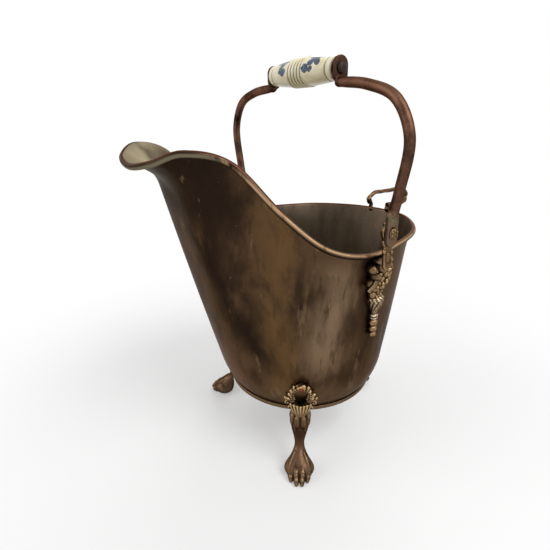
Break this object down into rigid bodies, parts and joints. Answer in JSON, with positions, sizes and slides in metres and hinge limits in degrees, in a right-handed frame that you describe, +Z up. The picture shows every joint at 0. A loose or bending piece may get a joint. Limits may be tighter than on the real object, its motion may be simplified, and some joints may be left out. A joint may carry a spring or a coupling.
{
  "type": "coal scuttle",
  "caption": "Brass coal scuttle with a broad pouring spout, rolled rim, paw feet, swinging bail with a ceramic grip, and a scroll handle at the back.",
  "frame": {"origin": "on the floor under the middle of the whole object's bounding box", "axes": "+Z up; -Y towards the pouring spout; X along the bail's pivot axis, the viewer's near side in the picture is +X"},
  "size_m": [0.2906, 0.3616, 0.4254],
  "materials": {
    "patinated_brass": "darkened, satin, streaked",
    "cast_brass": "cast, dark in the hollows",
    "rivet_brass": "worn bright",
    "copper_brown_rod": "matt copper brown",
    "glazed_ceramic": "gloss glaze with blue painted sprays",
    "dark_iron": "dark, dull"
  },
  "bodies": {
    "scuttle": {"foot_front_right": "cast_brass", "foot_front_right_rivet": "rivet_brass", "foot_rear": "cast_brass", "foot_rear_rivet": "rivet_brass", "foot_front_left": "cast_brass", "foot_front_left_rivet": "rivet_brass", "side_mount_right": "cast_brass", "pivot_pin_right": "cast_brass", "side_mount_screw_right_1": "rivet_brass", "side_mount_screw_right_2": "rivet_brass", "side_mount_left": "cast_brass", "pivot_pin_left": "cast_brass", "side_mount_screw_left_1": "rivet_brass", "side_mount_screw_left_2": "rivet_brass", "rear_handle": "cast_brass", "rear_handle_rivet_1": "rivet_brass", "rear_handle_rivet_2": "rivet_brass", "bucket_front": "patinated_brass", "bucket_back": "patinated_brass", "rim_wire": "dark_iron", "base_pan": "patinated_brass"},
    "bail": {"bail_arm_right": "copper_brown_rod", "bail_arm_left": "copper_brown_rod", "grip_washer_right": "dark_iron", "grip_washer_left": "dark_iron", "grip_bolt": "copper_brown_rod", "grip_nut": "copper_brown_rod"},
    "grip": {"ceramic_grip": "glazed_ceramic"}
  },
  "joints": [
    {"name": "bail_swing", "type": "hinge", "parent": "scuttle", "child": "bail", "pos_m": [0, 0.00385, 0.2763], "axis": [1, 0, 0], "range_deg": [-78, 58]},
    {"name": "grip_spin", "type": "hinge", "parent": "bail", "child": "grip", "pos_m": [0, 0.00337, 0.41146], "axis": [1, 0, 0], "continuous": true}
  ]
}
